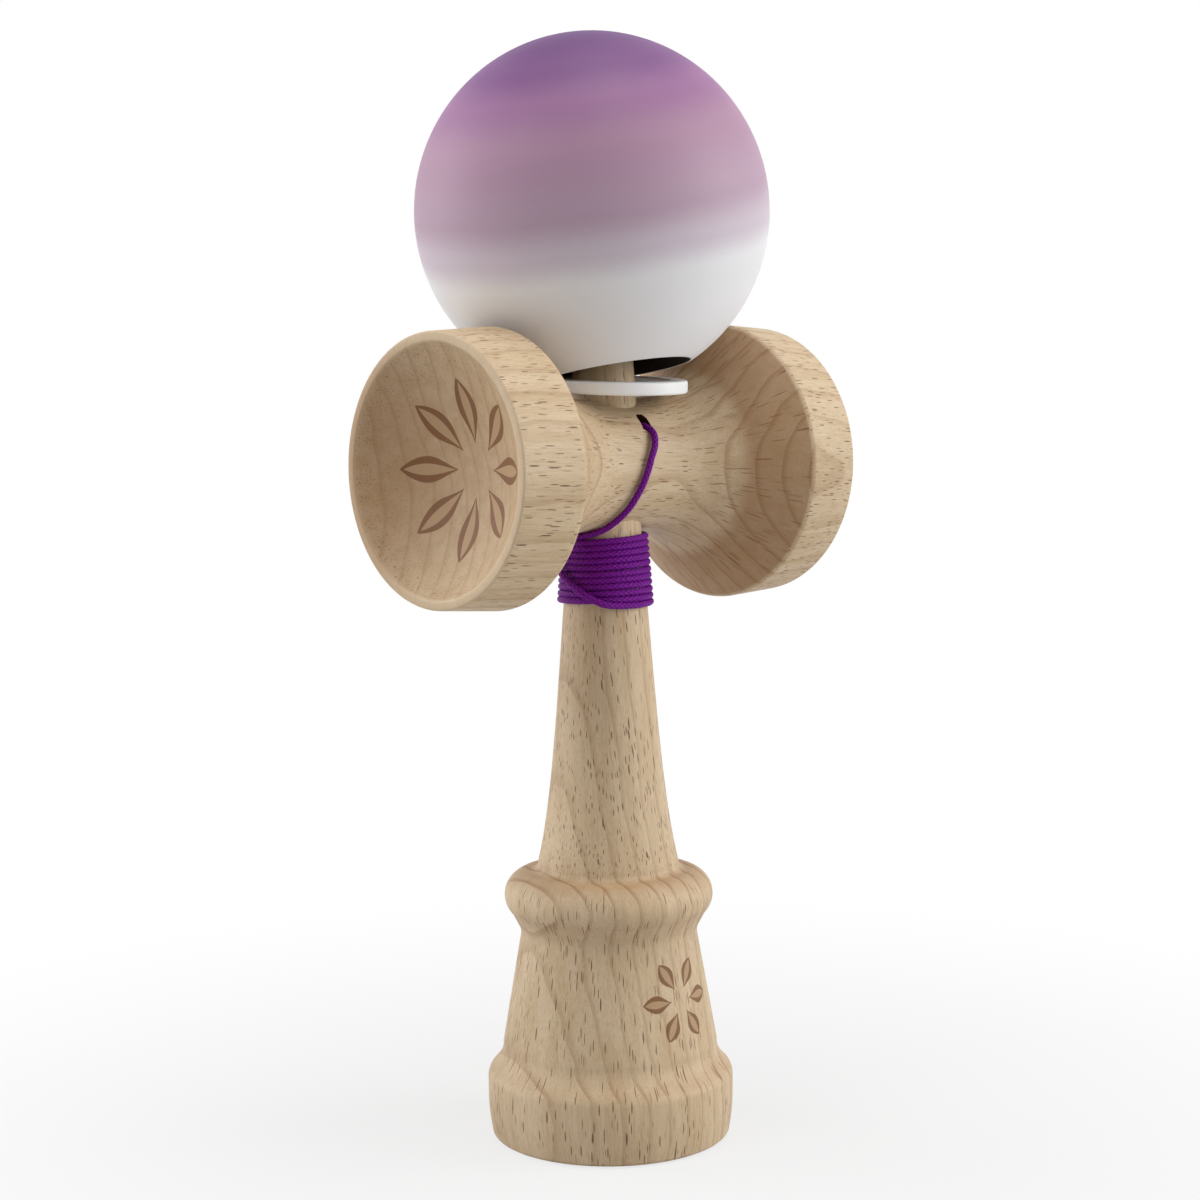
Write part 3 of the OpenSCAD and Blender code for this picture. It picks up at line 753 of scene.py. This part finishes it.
def bowl_motif(x, y, z):
    """Eight petals burnt into the small cup's bowl."""
    up = z - SARADO_Z
    mark, heart = petals(y, up, 8, BOWL_MARK_R)
    inside = x.smooth(-SARADO_HALF + 11.0, -SARADO_HALF + 10.4)
    near = (y * y + up * up).op("SQRT").smooth(BOWL_MARK_REACH, BOWL_MARK_REACH - 0.5)
    return mark * inside * near, heart * inside * near


def cone_motif(x, y, z):
    """Six small petals burnt into the cone above the base."""
    right = y * math.cos(CONE_MARK_DIR) - x * math.sin(CONE_MARK_DIR)
    front = x * math.cos(CONE_MARK_DIR) + y * math.sin(CONE_MARK_DIR)
    mark, heart = petals(right, z - CONE_MARK_Z, 6, CONE_MARK_R)
    facing = front.smooth(5.0, 6.0)
    return mark * facing, heart * facing


# The way up through the sprayed bands, which lie aslant on the ball
SPRAY_AXIS = Vector((-0.227, -0.061, 1)).normalized()


def sprayed(name):
    """Satin paint that fades from purple through mauve to white down the ball, with a soft sprayed edge."""
    paint = Paint(name)
    x, y, z = paint.place()
    rise = (x - TAMA_CENTRE.x) * SPRAY_AXIS.x + (y - TAMA_CENTRE.y) * SPRAY_AXIS.y
    height = (rise + (z - TAMA_CENTRE.z) * SPRAY_AXIS.z) / TAMA_R
    drift = paint.noise(paint.vector(x * 0.05, y * 0.05, z * 0.05), 2.0)
    speck = paint.noise(paint.vector(x * 5.0, y * 5.0, z * 5.0), 2.0, 0.7)
    level = height + (drift - 0.5) * 0.07 + (speck - 0.5) * 0.05
    colour = paint.ramp(level * 0.5 + 0.5, [
        (0.0, srgb(243, 243, 244)),
        (0.36, srgb(240, 239, 241)),
        (0.45, srgb(212, 199, 210)),
        (0.55, srgb(186, 158, 177)),
        (0.72, srgb(176, 139, 163)),
        (0.83, srgb(158, 113, 154)),
        (0.92, srgb(126, 84, 134)),
        (1.0, srgb(102, 62, 116)),
    ])
    peel = paint.noise(paint.vector(x * 1.6, y * 1.6, z * 1.6), 2.0, 0.5)
    paint.set(Base_Color=colour, Roughness=speck * 0.12 + 0.46, Specular_IOR_Level=0.25)
    paint.bump(peel, 0.12, 0.0001)
    return paint.material


def silicone(name):
    paint = Paint(name)
    x, y, z = paint.place()
    cloud = paint.noise(paint.vector(x * 0.4, y * 0.4, z * 0.4), 2.0)
    grain = paint.noise(paint.vector(x * 4.0, y * 4.0, z * 4.0), 2.0)
    colour = paint.blend(cloud, srgb(254, 254, 254), srgb(249, 249, 250))
    paint.set(Base_Color=colour, Roughness=cloud * 0.15 + 0.38, Specular_IOR_Level=0.45)
    paint.set(Subsurface_Weight=0.25, Subsurface_Scale=0.0012)
    paint.bump(grain, 0.1, 0.0001)
    return paint.material


STRAND_COUNT, STRAND_PERIOD = 5, 0.9


def braided(name):
    """Shiny braided cord: strands that cross along its length, darker towards the grooves between them as
    painted shade, with lighter ticks where they rise as painted highlights.
    """
    paint = Paint(name)
    uv = paint.node("ShaderNodeUVMap", uv_map="UVMap")
    parts = paint.node("ShaderNodeSeparateXYZ")
    paint.tree.links.new(uv.outputs[0], parts.inputs[0])
    round_it = Sum(paint.tree, parts.outputs[0]) * (2 * math.pi * STRAND_COUNT)
    length = Sum(paint.tree, parts.outputs[1]) * (2 * math.pi / STRAND_PERIOD)
    one = (round_it + length).op("SINE")
    two = (round_it - length).op("SINE")
    strand_relief_and_shade = one.op("MAXIMUM", two)
    crossing_highlight = one * two
    x, y, z = paint.place()
    fuzz = paint.noise(paint.vector(x * 6.0, y * 6.0, z * 6.0), 2.0, 0.7)
    # Painted shade between the strands, and painted highlights where they cross
    colour = paint.blend(strand_relief_and_shade.smooth(-0.2, 1.0), srgb(50, 0, 70), srgb(136, 2, 164))
    colour = paint.blend(crossing_highlight.smooth(0.4, 0.9) * 0.42, colour, srgb(182, 66, 206))
    colour = paint.blend(fuzz.smooth(0.6, 0.72) * 0.08, colour, srgb(178, 96, 200))
    paint.set(Base_Color=colour, Roughness=fuzz * 0.2 + 0.42, Specular_IOR_Level=0.16)
    paint.bump(strand_relief_and_shade + fuzz * 0.4, 0.6, 0.00012)
    return paint.material


def moulded(name):
    paint = Paint(name)
    x, y, z = paint.place()
    cloud = paint.noise(paint.vector(x * 0.8, y * 0.8, z * 0.8), 2.0)
    colour = paint.blend(cloud, srgb(222, 214, 226), srgb(206, 196, 214))
    paint.set(Base_Color=colour, Roughness=cloud * 0.2 + 0.35)
    return paint.material


KEN_WOOD = beech("ken_beech", 2, (66.0, -22.0), (0.05, -0.04), motif=cone_motif)
SARADO_WOOD = beech("sarado_beech", 0, (-47.1, 1.0), (0.04, 0.03), motif=bowl_motif)
# Painted shade: the ball's hole and bevel covered near black
HOLE_PAINTED_SHADE = beech("tama_hole_painted_shade", 2, (30.0, 20.0), (0.0, 0.0), shade=srgb(14, 9, 6))
# Painted shade: the string hole's faces covered dark brown
TORN_WOOD_PAINTED_SHADE = beech("string_hole_painted_shade", 0, (80.0, 6.0), (0.04, 0.03), shade=srgb(66, 38, 20))
PAINT = sprayed("tama_paint")
RING_RUBBER = silicone("ring_silicone")
CORD = braided("string_braid")

ken.data.materials.append(KEN_WOOD)
ring.data.materials.append(RING_RUBBER)
for obj in (string, anchor_knot, stopper_knot):
    obj.data.materials.append(CORD)

# Torn wood on the string hole's own faces, which don't face out as the turned ones do, coloured dark brown
# as painted shade
HOLE_SHADE_REACH, HOLE_SHADE_FACING = 2.4, 0.9
sarado.data.materials.clear()
sarado.data.materials.append(SARADO_WOOD)
sarado.data.materials.append(TORN_WOOD_PAINTED_SHADE)
for face in sarado.data.polygons:
    x, y, z = face.center / MM
    outward = Vector((0, y, z - SARADO_Z)).normalized()
    near = math.hypot(x - STRING_HOLE_X, z - STRING_HOLE_Z) < HOLE_SHADE_REACH
    if near and y < 0 and face.normal.dot(outward) < HOLE_SHADE_FACING:
        face.material_index = 1

# Bare wood inside the ball's hole and on its bevel, coloured near black as painted shade, paint outside
BARE_SHADED_R, BARE_SHADED_TOP, PAINT_DEPTH = 12.7, 27.0, 0.2
tama.data.materials.append(PAINT)
tama.data.materials.append(HOLE_PAINTED_SHADE)
for face in tama.data.polygons:
    offset = face.center / MM - TAMA_CENTRE
    height = offset.dot(TAMA_AXIS)
    in_hole = (offset - TAMA_AXIS * height).length < BARE_SHADED_R and height < BARE_SHADED_TOP
    if in_hole and offset.length < TAMA_R - PAINT_DEPTH:
        face.material_index = 1

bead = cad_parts["tama_bead"]
bead.data.materials.clear()
bead.data.materials.append(moulded("bead_plastic"))

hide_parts("ken")
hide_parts("sarado")
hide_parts("tama")
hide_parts("ring")
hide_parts("string_front_run", "string_winding", "string_back_run")
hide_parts("string_anchor_knot")
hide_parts("string_stopper_knot")
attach(ken, "ken")
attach(sarado, "ken")
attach(tama, "tama")
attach(ring, "ring")
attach(anchor_knot, "ken")
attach(stopper_knot, "string_end")
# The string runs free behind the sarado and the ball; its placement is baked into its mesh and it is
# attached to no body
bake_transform(string)
[p * MM for p in STRING_LINE]


# Floor, backdrop and lights, in metres

FLOOR_REACH, FLOOR_GAP = 12.0, 0.0002
FLOOR_GREY = 0.6
# The floor is seen whiter away from the object, from the first distance to the second
WHITE_FROM, WHITE_TO, WHITE_LEAST = 0.03, 0.2, 0.75
WORLD_FILL = 0.23


def seen_white(tree):
    """1 for rays that the eye follows: camera, glossy and transmission rays."""
    path = tree.nodes.new("ShaderNodeLightPath")
    seen = Sum(tree, path.outputs["Is Camera Ray"])
    seen = seen.op("MAXIMUM", Sum(tree, path.outputs["Is Glossy Ray"]))
    return seen.op("MAXIMUM", Sum(tree, path.outputs["Is Transmission Ray"]))


def make_floor():
    mesh = bpy.data.meshes.new("floor")
    corners = [(x * FLOOR_REACH, y * FLOOR_REACH, 0) for x, y in ((-1, -1), (1, -1), (1, 1), (-1, 1))]
    mesh.from_pydata(corners, [], [(0, 1, 2, 3)])
    obj = bpy.data.objects.new("floor", mesh)
    obj.location.z = -FLOOR_GAP
    scene.collection.objects.link(obj)
    material = bpy.data.materials.new("floor_white")
    material.use_nodes = True
    tree = material.node_tree
    tree.nodes.clear()
    matt = tree.nodes.new("ShaderNodeBsdfDiffuse")
    matt.inputs["Color"].default_value = (FLOOR_GREY, FLOOR_GREY, FLOOR_GREY, 1)
    glow = tree.nodes.new("ShaderNodeEmission")
    glow.inputs["Strength"].default_value = 1.0
    mix = tree.nodes.new("ShaderNodeMixShader")
    coords = tree.nodes.new("ShaderNodeTexCoord")
    far = tree.nodes.new("ShaderNodeVectorMath")
    far.operation = "LENGTH"
    tree.links.new(coords.outputs["Object"], far.inputs[0])
    share = Sum(tree, far.outputs["Value"]).smooth(WHITE_FROM, WHITE_TO, WHITE_LEAST, 1.0)
    tree.links.new((seen_white(tree) * share).socket, mix.inputs["Fac"])
    tree.links.new(matt.outputs[0], mix.inputs[1])
    tree.links.new(glow.outputs[0], mix.inputs[2])
    out = tree.nodes.new("ShaderNodeOutputMaterial")
    tree.links.new(mix.outputs[0], out.inputs["Surface"])
    mesh.materials.append(material)


def make_world(fill):
    world = bpy.data.worlds.new("studio")
    scene.world = world
    world.use_nodes = True
    tree = world.node_tree
    back = tree.nodes["Background"]
    back.inputs["Color"].default_value = (1, 1, 1, 1)
    level = seen_white(tree) * (1.0 - fill) + fill
    tree.links.new(level.socket, back.inputs["Strength"])


def softbox(name, place, aim, size, watts):
    data = bpy.data.lights.new(name, "AREA")
    data.shape = "DISK"
    data.size = size
    data.energy = watts
    obj = bpy.data.objects.new(name, data)
    scene.collection.objects.link(obj)
    obj.location = place
    obj.rotation_euler = (Vector(aim) - Vector(place)).to_track_quat("-Z", "Y").to_euler()


def around(angle, reach, height):
    """A place round the object; the angle is from the camera's side, positive to its right, in degrees."""
    turn = math.radians(CAMERA_AZIMUTH + angle)
    return (math.sin(turn) * reach, -math.cos(turn) * reach, height)


make_floor()
make_world(WORLD_FILL)
MIDDLE = (0, 0, 0.1)
softbox("right_light", around(86, 1.0, 0.45), MIDDLE, 0.8, 7.2)
softbox("left_light", around(-104, 1.0, 0.45), MIDDLE, 0.8, 5.2)
softbox("top_light", around(40, 0.2, 1.25), MIDDLE, 0.7, 5.6)
softbox("fill_light", around(-55, 0.8, 0.8), MIDDLE, 0.6, 2.6)

scene.view_settings.view_transform = "Standard"
